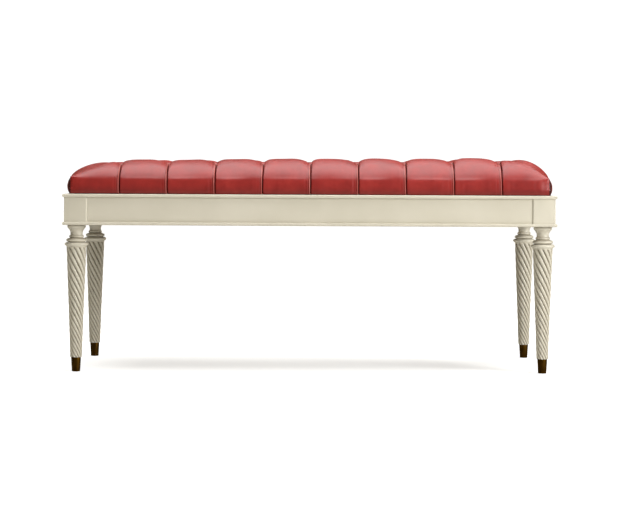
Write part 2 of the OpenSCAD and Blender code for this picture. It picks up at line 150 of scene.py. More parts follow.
def white_floor():
    """White seamless paper: matt, and bright enough to vanish into the background."""
    material, tree, place, output = new_material("seamless_paper")
    fibres = add(tree, "ShaderNodeTexNoise", inputs={"Vector": place, "Scale": 90.0, "Detail": 4.0})
    tone = add(tree, "ShaderNodeValToRGB", inputs={"Fac": fibres.outputs["Fac"]},
               stops=[(0.3, "#f6f6f5"), (0.7, "#fafaf9")])
    paper = add(tree, "ShaderNodeBsdfPrincipled", inputs={
        "Base Color": tone.outputs["Color"], "Roughness": 0.95})
    paper.inputs["Specular IOR Level"].default_value = 0.1
    path = add(tree, "ShaderNodeLightPath")
    reach = add(tree, "ShaderNodeVectorMath", {"operation": "LENGTH"}, {0: place})
    lift = add(tree, "ShaderNodeMapRange", inputs={
        "Value": reach.outputs["Value"], "From Min": 0.6, "From Max": 2.2, "To Min": 0.5, "To Max": 1.0})
    glow = add(tree, "ShaderNodeEmission", inputs={"Color": linear("#ffffff"), "Strength": lift.outputs[0]})
    bright = add(tree, "ShaderNodeAddShader", inputs={0: paper.outputs[0], 1: glow.outputs[0]})
    both = add(tree, "ShaderNodeMixShader", inputs={
        0: path.outputs["Is Camera Ray"], 1: paper.outputs[0], 2: bright.outputs[0]})
    tree.links.new(both.outputs[0], output.inputs["Surface"])
    return material


def black_flag():
    """Black velvet on the flags, which the ends of the seat reflect."""
    material, tree, _, output = new_material("black_velvet")
    velvet = add(tree, "ShaderNodeBsdfDiffuse", inputs={"Color": linear("#060606")})
    tree.links.new(velvet.outputs[0], output.inputs["Surface"])
    return material


def ivory_lacquer():
    """Sprayed satin lacquer over a brown antiquing glaze: an even ivory coat, darker where glaze is left,
    with painted shade in the recesses, a painted shadow line under the lip and painted shade on the underside
    of the bead.
    """
    material, tree, place, output = new_material("satin_lacquer_antiqued_beech_with_painted_shade")
    glaze_and_shade = add(tree, "ShaderNodeAttribute", {"attribute_name": "glaze_and_shade"})
    cloud = add(tree, "ShaderNodeTexNoise", inputs={"Vector": place, "Scale": 9.0, "Detail": 3.0})
    coat = add(tree, "ShaderNodeValToRGB", inputs={"Fac": cloud.outputs["Fac"]},
               stops=[(0.3, "#d1cbb9"), (0.7, "#d8d2c1")])
    patchy = add(tree, "ShaderNodeTexNoise", inputs={
        "Vector": place, "Scale": 160.0, "Detail": 5.0, "Roughness": 0.65})
    worn = add(tree, "ShaderNodeMapRange", inputs={
        "Value": patchy.outputs["Fac"], "From Min": 0.32, "From Max": 0.62, "To Min": 0.55, "To Max": 1.0})
    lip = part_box("top_moulding_front")[0].z
    bead_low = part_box("bottom_bead_front")[0].z
    height = add(tree, "ShaderNodeSeparateXYZ", inputs={0: place})
    left = glaze_and_shade.outputs["Fac"]
    for edge, reach, most in ((lip, -2.0, 0.32), (bead_low, 1.5, 0.5)):
        # painted shadow line under the lip, partly glaze left in the corner, and painted shade on the bead's
        # underside: at this height, fading out over the reach in mm
        away = add(tree, "ShaderNodeMapRange", inputs={
            "Value": height.outputs["Z"], "From Min": edge, "From Max": edge + reach * MM,
            "To Min": most, "To Max": 0.0})
        beyond = add(tree, "ShaderNodeMath", {"operation": "COMPARE"},
                     {0: height.outputs["Z"], 1: edge + reach / 2 * MM, 2: (abs(reach) / 2 + 0.05) * MM})
        line = add(tree, "ShaderNodeMath", {"operation": "MULTIPLY"},
                   {0: away.outputs[0], 1: beyond.outputs[0]})
        left = add(tree, "ShaderNodeMath", {"operation": "MAXIMUM"}, {0: left, 1: line.outputs[0]}).outputs[0]
    amount = add(tree, "ShaderNodeMath", {"operation": "MULTIPLY", "use_clamp": True},
                 {0: left, 1: worn.outputs[0]})
    # the brown of the glaze and of the painted shade
    brown = add(tree, "ShaderNodeMix", {"data_type": "RGBA"},
                {0: amount.outputs[0], 6: coat.outputs["Color"], 7: linear("#62480f")})
    # brush lines about 0.6 mm apart along the length
    lines = add(tree, "ShaderNodeMapping", inputs={"Vector": place, "Scale": (0.06, 1.0, 1.0)})
    streaks = add(tree, "ShaderNodeTexNoise", inputs={
        "Vector": lines.outputs[0], "Scale": 900.0, "Detail": 2.0})
    orange = add(tree, "ShaderNodeTexNoise", inputs={"Vector": place, "Scale": 420.0, "Detail": 2.0})
    relief = add(tree, "ShaderNodeMath", {"operation": "ADD"},
                 {0: streaks.outputs["Fac"], 1: orange.outputs["Fac"]})
    bump = add(tree, "ShaderNodeBump", inputs={
        "Height": relief.outputs[0], "Strength": 0.12, "Distance": 0.0002})
    sheen = add(tree, "ShaderNodeMapRange", inputs={
        "Value": cloud.outputs["Fac"], "To Min": 0.34, "To Max": 0.44})
    wood = add(tree, "ShaderNodeBsdfPrincipled", inputs={
        "Base Color": brown.outputs[2], "Roughness": sheen.outputs[0], "Normal": bump.outputs[0]})
    wood.inputs["IOR"].default_value = 1.5
    wood.inputs["Coat Weight"].default_value = 0.3
    wood.inputs["Coat Roughness"].default_value = 0.16
    tree.links.new(wood.outputs[0], output.inputs["Surface"])
    return material


def red_leather():
    """Finished cowhide: a deep red pigment coat with a soft gloss, a fine pebbled grain, and painted shade in
    its folds, creases, tufts and along its foot.
    """
    material, tree, place, output = new_material("finished_red_cowhide")
    painted_shade = add(tree, "ShaderNodeAttribute", {"attribute_name": "painted_shade"})
    mottle = add(tree, "ShaderNodeTexNoise", inputs={
        "Vector": place, "Scale": 26.0, "Detail": 5.0, "Roughness": 0.6})
    hide = add(tree, "ShaderNodeValToRGB", inputs={"Fac": mottle.outputs["Fac"]},
               stops=[(0.28, "#861512"), (0.55, "#961c17"), (0.8, "#a3251e")])
    # painted shade: near black in the pleat gaps, round the buttons, beside the corner seams and along the
    # foot
    deep = add(tree, "ShaderNodeMix", {"data_type": "RGBA"},
               {0: painted_shade.outputs["Fac"], 6: hide.outputs["Color"], 7: linear("#220302")})
    # rubbed and painted highlight: pale pink on the lips of the knife pleats, where they catch the light
    rub_and_highlight = add(tree, "ShaderNodeAttribute", {"attribute_name": "rub_and_highlight"})
    worn = add(tree, "ShaderNodeMath", {"operation": "MULTIPLY"}, {0: rub_and_highlight.outputs["Fac"], 1: 0.5})
    edges = add(tree, "ShaderNodeMix", {"data_type": "RGBA"},
                {0: worn.outputs[0], 6: deep.outputs[2], 7: linear("#d88a80")})
    # pebbles about 1.1 mm across, with finer creases between them
    pebbles = add(tree, "ShaderNodeTexVoronoi", {"feature": "SMOOTH_F1"},
                  {"Vector": place, "Scale": 900.0, "Smoothness": 0.4})
    creases = add(tree, "ShaderNodeTexNoise", inputs={
        "Vector": place, "Scale": 260.0, "Detail": 6.0, "Roughness": 0.7})
    grain = add(tree, "ShaderNodeMath", {"operation": "MULTIPLY_ADD"},
                {0: pebbles.outputs["Distance"], 1: 0.6, 2: creases.outputs["Fac"]})
    bump = add(tree, "ShaderNodeBump", inputs={
        "Height": grain.outputs[0], "Strength": 0.22, "Distance": 0.0004})
    gloss = add(tree, "ShaderNodeMapRange", inputs={
        "Value": mottle.outputs["Fac"], "To Min": 0.4, "To Max": 0.52})
    leather = add(tree, "ShaderNodeBsdfPrincipled", inputs={
        "Base Color": edges.outputs[2], "Roughness": gloss.outputs[0], "Normal": bump.outputs[0]})
    leather.inputs["IOR"].default_value = 1.5
    leather.inputs["Specular IOR Level"].default_value = 0.5
    leather.inputs["Coat Weight"].default_value = 0.3
    leather.inputs["Coat Roughness"].default_value = 0.36
    tree.links.new(leather.outputs[0], output.inputs["Surface"])
    return material


def antique_brass():
    """Cast brass with a chemical brown patina, rubbed back to metal on the high spots."""
    material, tree, place, output = new_material("patinated_brass")
    drawn = add(tree, "ShaderNodeMapping", inputs={"Vector": place, "Scale": (1.0, 1.0, 0.2)})
    patches = add(tree, "ShaderNodeTexNoise", inputs={
        "Vector": drawn.outputs[0], "Scale": 150.0, "Detail": 5.0, "Roughness": 0.55})
    patina = add(tree, "ShaderNodeValToRGB", inputs={"Fac": patches.outputs["Fac"]},
                 stops=[(0.3, "#46300f"), (0.55, "#62440f"), (0.75, "#845c1c")])
    rough = add(tree, "ShaderNodeMapRange", inputs={
        "Value": patches.outputs["Fac"], "To Min": 0.5, "To Max": 0.28})
    bump = add(tree, "ShaderNodeBump", inputs={
        "Height": patches.outputs["Fac"], "Strength": 0.15, "Distance": 0.0003})
    brass = add(tree, "ShaderNodeBsdfPrincipled", inputs={
        "Base Color": patina.outputs["Color"], "Metallic": 0.9,
        "Roughness": rough.outputs[0], "Normal": bump.outputs[0]})
    tree.links.new(brass.outputs[0], output.inputs["Surface"])
    return material


def bare_wood(name, pale, dark, stretch):
    """Planed timber: growth lines about 4 mm apart along the grain, matt and unfinished."""
    material, tree, place, output = new_material(name)
    along = add(tree, "ShaderNodeMapping", inputs={"Vector": place, "Scale": stretch})
    rings = add(tree, "ShaderNodeTexNoise", inputs={
        "Vector": along.outputs[0], "Scale": 120.0, "Detail": 6.0, "Distortion": 0.6})
    tone = add(tree, "ShaderNodeValToRGB", inputs={"Fac": rings.outputs["Fac"]},
               stops=[(0.3, dark), (0.65, pale)])
    bump = add(tree, "ShaderNodeBump", inputs={
        "Height": rings.outputs["Fac"], "Strength": 0.2, "Distance": 0.0003})
    wood = add(tree, "ShaderNodeBsdfPrincipled", inputs={
        "Base Color": tone.outputs["Color"], "Roughness": 0.72, "Normal": bump.outputs[0]})
    tree.links.new(wood.outputs[0], output.inputs["Surface"])
    return material


def woven_cloth(name, pale, dark, threads):
    """Plain-woven cloth: two sets of crossing threads, matt."""
    material, tree, place, output = new_material(name)
    warp, weft = (add(tree, "ShaderNodeTexWave", {"bands_direction": direction},
                      {"Vector": place, "Scale": threads, "Distortion": 0.4}) for direction in "XY")
    weave = add(tree, "ShaderNodeMath", {"operation": "MULTIPLY"},
                {0: warp.outputs["Fac"], 1: weft.outputs["Fac"]})
    tone = add(tree, "ShaderNodeValToRGB", inputs={"Fac": weave.outputs[0]}, stops=[(0.1, dark), (0.8, pale)])
    bump = add(tree, "ShaderNodeBump", inputs={
        "Height": weave.outputs[0], "Strength": 0.4, "Distance": 0.0004})
    cloth = add(tree, "ShaderNodeBsdfPrincipled", inputs={
        "Base Color": tone.outputs["Color"], "Roughness": 0.92, "Normal": bump.outputs[0]})
    tree.links.new(cloth.outputs[0], output.inputs["Surface"])
    return material


def zinc_steel():
    """Zinc-plated steel: pale grey and slightly clouded, with a gloss that varies with the clouding."""
    material, tree, place, output = new_material("zinc_plated_steel")
    cloud = add(tree, "ShaderNodeTexNoise", inputs={"Vector": place, "Scale": 300.0, "Detail": 4.0})
    tone = add(tree, "ShaderNodeValToRGB", inputs={"Fac": cloud.outputs["Fac"]},
               stops=[(0.3, "#8d8f92"), (0.7, "#b4b6b8")])
    rough = add(tree, "ShaderNodeMapRange", inputs={
        "Value": cloud.outputs["Fac"], "To Min": 0.3, "To Max": 0.5})
    steel = add(tree, "ShaderNodeBsdfPrincipled", inputs={
        "Base Color": tone.outputs["Color"], "Metallic": 1.0, "Roughness": rough.outputs[0]})
    tree.links.new(steel.outputs[0], output.inputs["Surface"])
    return material


# ---------------------------------------------------------------- modelling helpers

def nothing_selected():
    """Deselects every object, so that the next operator acts on its own piece only."""
    bpy.ops.object.select_all(action="DESELECT")


def select_where(piece, test):
    """In edit mode, selects only the vertices for which test(place) is true."""
    mesh = bmesh.from_edit_mesh(piece.data)
    bpy.ops.mesh.select_all(action="DESELECT")
    bpy.ops.mesh.select_mode(type="VERT")
    for vertex in mesh.verts:
        vertex.select = test(vertex.co)
    mesh.select_flush(True)
    bmesh.update_edit_mesh(piece.data)


def finish_piece(piece, material, nodes=(), smooth=35):
    """Applies the piece's place, shades it, and puts it in the frame for the CAD nodes that it stands for."""
    nothing_selected()
    piece.select_set(True)
    bpy.context.view_layer.objects.active = piece
    bpy.ops.object.transform_apply(location=True, rotation=True, scale=True)
    bpy.ops.object.shade_smooth_by_angle(angle=math.radians(smooth))
    piece.data.materials.clear()
    piece.data.materials.append(material)
    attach(piece, BODY)
    if nodes:
        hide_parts(*nodes)
    return piece


def ring_by_ring(name, rings, around, shape_ring=None, shape_at=None, turns=None):
    """A round piece on the Z axis: a circle, extruded and resized from one (height, radius) to the next.
    At ring number shape_at, shape_ring gives the circle its cross-section; turns holds each ring's turn."""
    nothing_selected()
    height, radius = rings[0]
    bpy.ops.mesh.primitive_circle_add(vertices=around, radius=radius * MM, location=(0, 0, height * MM),
                                      fill_type="NGON")
    piece = bpy.context.object
    piece.name = name
    bpy.ops.object.transform_apply(location=True)
    bpy.ops.object.mode_set(mode="EDIT")
    bpy.ops.mesh.select_all(action="SELECT")
    for number in range(1, len(rings)):
        lower, smaller = rings[number]
        ratio = smaller / radius
        centre = (0, 0, lower * MM)
        bpy.ops.mesh.extrude_region_move(TRANSFORM_OT_translate={"value": (0, 0, (lower - height) * MM)})
        if ratio != 1:
            bpy.ops.transform.resize(value=(ratio, ratio, 1), center_override=centre)
        if turns and turns[number]:
            bpy.ops.transform.rotate(value=turns[number], orient_axis="Z", center_override=centre)
        if number == shape_at:
            shape_ring(piece, lower * MM)
        height, radius = lower, smaller
    bpy.ops.mesh.select_all(action="SELECT")
    bpy.ops.mesh.normals_make_consistent(inside=False)
    bpy.ops.object.mode_set(mode="OBJECT")
    return piece


def copy_piece(piece, name, place):
    """A copy with its own mesh, moved to place."""
    nothing_selected()
    piece.select_set(True)
    bpy.context.view_layer.objects.active = piece
    bpy.ops.object.duplicate()
    made = bpy.context.object
    made.name = name
    made.location = place
    return made


# ---------------------------------------------------------------- legs and ferrules

# lengths are in mm
HEAD_TALL = 55.0
TWIST_TOP, TWIST_BOTTOM = 49.0, 29.0    # width of the twist over the crests of its strands
STRANDS = 11
STRAND_ANGLE = math.radians(60)         # of a strand above the level
POINTS_PER_STRAND = 12
GROOVE = 0.23                           # depth of a groove as a share of the crest's radius
FOOT_RADIUS, FERRULE_WALL, FERRULE_SOLE = 10.3, 1.2, 2.5


def arc_rings(core, radius, high, low, steps=8):
    """Rings of a round moulding, from its top to its bottom."""
    middle, half = (high + low) / 2, (high - low) / 2
    turns = [math.pi * i / steps for i in range(steps + 1)]
    return [(middle + half * math.cos(turn), core + (radius - core) * math.sin(turn)) for turn in turns]


def leg_rings(top, tall, widest, band):
    """Heights and radii of the head, from the top: disc, cove, neck, small ring, torus and widest ring."""
    rings = [(top, widest * 0.70), (top - tall * 0.012, widest * 0.745)]
    rings += arc_rings(widest * 0.74, widest * 0.78, top - tall * 0.016, top - tall * 0.125)[1:]
    rings += [(top - tall * 0.135, widest * 0.71)]
    rings += [(top - tall * (0.155 + 0.209 * i / 10), widest * (0.515 + 0.18 * (1 - i / 10) ** 2))
              for i in range(11)]
    rings += [(top - tall * 0.433, widest * 0.515), (top - tall * 0.456, widest * 0.535)]
    rings += arc_rings(widest * 0.545, widest * 0.62, top - tall * 0.466, top - tall * 0.565)
    rings += [(top - tall * 0.575, widest * 0.565), (top - tall * 0.587, widest * 0.585)]
    rings += arc_rings(widest * 0.62, widest * 0.86, top - tall * 0.598, top - tall * 0.775, 12)
    wide_ring = ((0.783, 0.84), (0.794, 0.89), (0.825, 0.975), (0.849, 1.0), (0.877, 1.0), (0.901, 0.975),
                 (0.939, 0.89), (0.957, 0.85))
    rings += [(top - tall * down, widest * share) for down, share in wide_ring]
    rings += [(top - tall * 0.967, band + 0.3), (top - tall * 0.986, band + 0.2)]
    return rings


def rope_rings(high, low, steps):
    """Heights, radii and turns of the rope twist, whose strands keep one angle as the leg tapers."""
    taper = (TWIST_TOP - TWIST_BOTTOM) / 2 / (high - low)
    rings, turns = [], []
    for i in range(steps + 1):
        depth = (high - low) * i / steps
        radius = TWIST_TOP / 2 - taper * depth
        rings.append((high - depth, radius))
        turns.append(math.log(TWIST_TOP / 2 / radius) / taper / math.tan(STRAND_ANGLE))
    return rings, turns


def strand_share(phase):
    """Radius over a strand as a share of its crest, for a phase from 0 to 1 across the strand."""
    return 1 - GROOVE * (1 - math.sqrt(max(0.0, 1 - (2 * phase - 1) ** 2)) ** 0.85)


def shape_strands(piece, height):
    """Presses the grooves between the strands into the selected ring."""
    for step in range(POINTS_PER_STRAND // 2 + 1):
        share = strand_share(step / POINTS_PER_STRAND)
        if share == 1:
            continue
        mesh = bmesh.from_edit_mesh(piece.data)
        ring = [v for v in mesh.verts if abs(v.co.z - height) < 1e-6]
        pick = []
        for vertex in ring:
            turn = math.atan2(vertex.co.y, vertex.co.x) / (2 * math.pi) * STRANDS * POINTS_PER_STRAND
            place = round(turn) % POINTS_PER_STRAND
            if min(place, POINTS_PER_STRAND - place) == step:
                pick.append(vertex)
        bpy.ops.mesh.select_all(action="DESELECT")
        for vertex in pick:
            vertex.select = True
        bmesh.update_edit_mesh(piece.data)
        bpy.ops.transform.resize(value=(share, share, 1), center_override=(0, 0, height))
    select_where(piece, lambda place: abs(place.z - height) < 1e-6)


def add_glaze_and_shade(piece, rings, twist_high, twist_low):
    """Stores how much glaze and painted shade each point gets: most in the twist's grooves and the head's
    recesses, where shade falls.
    """
    heights = np.array([h for h, r in rings])
    radii = np.array([r for h, r in rings])
    tallest = np.array([radii[np.abs(heights - h) < 1.3].max() for h in heights])
    # glaze and painted shade in the head's recesses, most where a ring stands in from its neighbours
    recess = 0.05 + np.clip((tallest - radii) / 2.0, 0, 1) * 0.4
    place = np.array([v.co for v in piece.data.vertices]) / MM
    reach = np.hypot(place[:, 0], place[:, 1])
    glaze_and_shade = np.interp(place[:, 2], heights[::-1], recess[::-1])
    share = (twist_high - place[:, 2]) / (twist_high - twist_low)
    crest = (TWIST_TOP + (TWIST_BOTTOM - TWIST_TOP) * share) / 2
    # glaze and painted shade in the twist's grooves, deepest at the bottom of each groove
    groove = 0.04 + 0.96 * np.clip((1 - reach / crest) / GROOVE, 0, 1) ** 0.8
    rope = (place[:, 2] < twist_high - 0.01) & (place[:, 2] > twist_low - 0.5)
    glaze_and_shade = np.where(rope, groove, glaze_and_shade)
    layer = piece.data.attributes.new("glaze_and_shade", "FLOAT", "POINT")
    layer.data.foreach_set("value", glaze_and_shade.astype(np.float32))


def make_legs(lacquer, brass):
    """Four turned legs with a rope-twist shaft, and a brass ferrule on each."""
    low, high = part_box("front_left_leg")
    cap_low, cap_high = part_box("front_left_ferrule")
    widest = (high.x - low.x) / 2 / MM
    leg_top, cap_top = high.z / MM, cap_high.z / MM
    cap_radius = (cap_high.x - cap_low.x) / 2 / MM
    foot = FOOT_RADIUS
    twist_high, twist_low = leg_top - HEAD_TALL, cap_top + 0.3
    head_rings = leg_rings(leg_top, HEAD_TALL, widest, TWIST_TOP / 2)
    rope, angles = rope_rings(twist_high, twist_low, 150)
    rings = head_rings + rope + [(twist_low - 0.2, cap_radius - 1.5), (cap_low.z / MM + 3, foot - 1.4)]
    first = len(head_rings)
    turns = [0.0] * len(rings)
    for i in range(1, len(rope)):
        turns[first + i] = -(angles[i] - angles[i - 1])
    leg = ring_by_ring("leg", rings, STRANDS * POINTS_PER_STRAND, shape_strands, first, turns)
    add_glaze_and_shade(leg, head_rings, twist_high, twist_low)

    cap = ring_by_ring("ferrule", [
        (0, foot - 1.6), (0.25, foot - 0.7), (0.9, foot - 0.1), (1.8, foot + 0.1),
        (cap_top * 0.5, (foot + cap_radius) / 2), (cap_top - 1.1, cap_radius),
        (cap_top - 0.4, cap_radius - 0.1), (cap_top, cap_radius - 0.5),
        (cap_top - 0.1, cap_radius - FERRULE_WALL), (FERRULE_SOLE, foot - FERRULE_WALL)], 72)
    for side in ("front_left", "front_right", "rear_left", "rear_right"):
        low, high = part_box(side + "_leg")
        place = ((low.x + high.x) / 2, (low.y + high.y) / 2, 0)
        turned = copy_piece(leg, side + "_rope_leg", place)
        finish_piece(turned, lacquer, [side + "_leg"], 32)
        cast = copy_piece(cap, side + "_brass_cap", place)
        finish_piece(cast, brass, [side + "_ferrule"], 40)
    for spare in (leg, cap):
        bpy.data.objects.remove(spare)


# ---------------------------------------------------------------- apron

MOULDINGS = (("top_moulding", 2.6), ("bottom_bead", 3.4))    # and the radius of their outer edges, in mm
POST_CHAMFER, POST_EDGE, POST_REBATE = 4.0, 1.2, 3.0


def block_from(name, low, high):
    """A block between two corners, left in edit mode."""
    nothing_selected()
    bpy.ops.mesh.primitive_cube_add(size=1, location=(Vector(low) + Vector(high)) / 2,
                                    scale=Vector(high) - Vector(low))
    piece = bpy.context.object
    piece.name = name
    bpy.ops.object.transform_apply(location=True, rotation=True, scale=True)
    bpy.ops.object.mode_set(mode="EDIT")
    return piece


def make_mouldings(lacquer):
    """The lip under the seat and the bead round the bottom: rounded strips, mitred at the corners."""
    for level, rounding in MOULDINGS:
        for side in ("front", "rear", "left", "right"):
            node = level + "_" + side
            low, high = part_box(node)
            piece = block_from(node + "_strip", low, high)
            along = 0 if side in ("front", "rear") else 1
            across = 1 - along
            outside = high[across] if side in ("rear", "right") else low[across]
            select_where(piece, lambda place: abs(place[across] - outside) < 1e-5)
            bpy.ops.mesh.select_mode(type="EDGE")
            mesh = bmesh.from_edit_mesh(piece.data)
            for edge in mesh.edges:
                ends = [v.co for v in edge.verts]
                outer = all(abs(e[across] - outside) < 1e-5 for e in ends)
                edge.select = outer and abs(ends[0][along] - ends[1][along]) > 0.1
            bmesh.update_edit_mesh(piece.data)
            bpy.ops.mesh.bevel(offset=rounding * MM, segments=6, profile=0.5, affect="EDGES")
            for end in (-1, 1):
                corner = [0.0, 0.0, low.z]
                corner[along] = end * (high[along] - low[along]) / 2 + (high[along] + low[along]) / 2
                corner[across] = outside
                normal = [0.0, 0.0, 0.0]
                normal[along] = end
                normal[across] = -1 if outside > 0 else 1
                bpy.ops.mesh.select_all(action="SELECT")
                bpy.ops.mesh.bisect(plane_co=corner, plane_no=normal, use_fill=True, clear_outer=True)
            bpy.ops.object.mode_set(mode="OBJECT")
            finish_piece(piece, lacquer, [node], 40)


def make_posts(lacquer):
    """Square corner blocks with chamfered inner edges, rebated at the bottom for the bead."""
    bead_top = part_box("bottom_bead_front")[1].z
    for side in ("front_left", "front_right", "rear_left", "rear_right"):
        node = side + "_post"
        low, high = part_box(node)
        sx = -1 if low.x < 0 else 1
        sy = -1 if low.y < 0 else 1
        outer = Vector((low.x if sx < 0 else high.x, low.y if sy < 0 else high.y, 0))
        inner = Vector((high.x if sx < 0 else low.x, high.y if sy < 0 else low.y, 0))
        base = low.copy()
        base.z = bead_top
        piece = block_from(side + "_corner_block", base, high)
        mesh = bmesh.from_edit_mesh(piece.data)
        bpy.ops.mesh.select_all(action="DESELECT")
        bpy.ops.mesh.select_mode(type="EDGE")
        for edge in mesh.edges:
            a, b = (v.co for v in edge.verts)
            upright = abs(a.z - b.z) > 0.01
            on_x, on_y = abs(a.x - outer.x) < 1e-5, abs(a.y - outer.y) < 1e-5
            edge.select = upright and (on_x != on_y)
        bmesh.update_edit_mesh(piece.data)
        bpy.ops.mesh.bevel(offset=POST_CHAMFER * MM, segments=1, affect="EDGES")
        mesh = bmesh.from_edit_mesh(piece.data)
        bpy.ops.mesh.select_all(action="DESELECT")
        for edge in mesh.edges:
            a, b = (v.co for v in edge.verts)
            upright = abs(a.z - b.z) > 0.01
            edge.select = upright and abs(a.x - outer.x) < 1e-5 and abs(a.y - outer.y) < 1e-5
        bmesh.update_edit_mesh(piece.data)
        bpy.ops.mesh.bevel(offset=POST_EDGE * MM, segments=4, affect="EDGES")
        bpy.ops.mesh.select_all(action="DESELECT")
        bpy.ops.mesh.select_mode(type="FACE")
        mesh = bmesh.from_edit_mesh(piece.data)
        for face in mesh.faces:
            face.select = face.normal.z < -0.9
        bmesh.update_edit_mesh(piece.data)
        bpy.ops.mesh.extrude_region_move(TRANSFORM_OT_translate={"value": (0, 0, 0)})
        width = abs(outer.x - inner.x)
        ratio = (width - POST_REBATE * MM) / width
        bpy.ops.transform.resize(value=(ratio, ratio, 1), center_override=(inner.x, inner.y, base.z))
        bpy.ops.mesh.extrude_region_move(TRANSFORM_OT_translate={"value": (0, 0, low.z - base.z)})
        bpy.ops.mesh.select_all(action="SELECT")
        bpy.ops.mesh.normals_make_consistent(inside=False)
        bpy.ops.object.mode_set(mode="OBJECT")
        finish_piece(piece, lacquer, [node], 30)


# ---------------------------------------------------------------- tufted seat

# lengths are in mm
SEAT_SIDE = 43.0              # height of the upright side
SEAT_CROWN = 40.0             # rise of the stuffed top above it
FULLER_RIGHT = 4.0            # more crown at the right end, and less at the left
FULLEST = 18.0                # height at which the side stands out most
LEFT_ROLL, RIGHT_ROLL, FRONT_ROLL = 123.0, 80.0, 85.0    # width of the rolled edges
ROUND = 1.9                   # power of the curve of the rolled edges
SIDE_BULGE = 5.0
END_BULGE = 9.5
CORNER_RADIUS = 8.0
BUTTON_WIDTH = 22.0
BUTTON_FLAT, BUTTON_PULL = 9.0, 26.0    # flat radius under a button, and depth and width of its tuft
TUCK, TUCK_DEEP = 30.0, 1.4   # the edge turned under the deck

# half width on the left and right of a pleat, and its depth at the button and at its other end
DIAMOND_PLEAT = (37, 37, 10, 10)
FRONT_PLEAT = (24, 50, 12, -5)
END_PLEAT = (44, 44, 14, -4)
CORNER_PLEAT = (42, 42, 14, -24)

# the pattern is counted in half cells from its middle, 50 of them from one pleat line to the next;
# near the edges they crowd towards the pleats, which sets in over 14 more
CELLS_LONG, CELLS_DEEP, SIDE_ROWS = 250, 100, 10
PLEAT_STEP, CROWDING = 50, 14
CLOTH_FRAMES, CLOTH_REACH, CLOTH_RELAX = 16, 2.5, 20


def ease(start, stop, value):
    """A smooth step from 0 at start to 1 at stop."""
    share = np.clip((value - start) / (stop - start), 0, 1)
    return share * share * (3 - 2 * share)


def pillow(share):
    """Height of a stuffed panel next to a stitched line: 0 on the line, 1 at a share of 1 and beyond."""
    return np.sqrt(1 - (1 - np.clip(share, 0, 1)) ** 2)


def ridge(value, middle, width):
    """A soft ridge of height 1 along middle."""
    return np.exp(-((value - middle) / width) ** 2)


def dome(share, power):
    """Rise of a rounded edge, from 0 to 1 as share goes from 0 to 1; a power of 2 is a quarter circle."""
    return (1 - (1 - np.clip(share, 0, 1)) ** power) ** (1 / power)


def roll_rise(inside, reach):
    """Rise of the rolled edge above the top of the upright side, for a distance in from the edge."""
    start = dome(SIDE_BULGE / reach, ROUND)
    return (dome((inside + SIDE_BULGE) / reach, ROUND) - start) / (1 - start)


def side_bulge(side):
    """How far the upright side stands out, from its top (0) to its foot (1), as a share of its bulge."""
    height = SEAT_SIDE * (1 - np.clip(side, 0, 1))
    above = 1 - np.clip((height - FULLEST) / (SEAT_SIDE - FULLEST), 0, 1) ** ROUND
    below = np.sqrt(1 - np.clip((FULLEST - height) / (FULLEST + 0.5), 0, 1) ** 2)
    return above * below


def soft_noise(x, y, seed):
    """Smooth random hills between -1 and 1, about one to a unit."""
    table = np.random.RandomState(seed).uniform(-1, 1, (97, 97))
    cell_x, cell_y = np.floor(x).astype(int), np.floor(y).astype(int)
    part_x, part_y = ease(0, 1, x - cell_x), ease(0, 1, y - cell_y)
    rows = []
    for step in (0, 1):
        near = table[cell_x % 97, (cell_y + step) % 97]
        far = table[(cell_x + 1) % 97, (cell_y + step) % 97]
        rows.append(near + (far - near) * part_x)
    return rows[0] + (rows[1] - rows[0]) * part_y


def crowd(share):
    """Moves points between two pleats (share 0 to 1) closer to the pleats."""
    half = np.minimum(share, 1 - share)
    moved = 0.36 * half + 0.32 * (2 * half) ** 2
    return np.where(share > 0.5, 1 - moved, moved)


def tuft_places(half_long, half_deep):
    """Places of the buttons in plan: five rows, every second one shifted by half a panel."""
    panel, row = half_long / 4, half_deep / 2
    places = []
    for line in range(-2, 3):
        count = 9 if line % 2 == 0 else 8
        for number in range(count):
            places.append(((number - (count - 1) / 2) * panel, line * row))
    return places


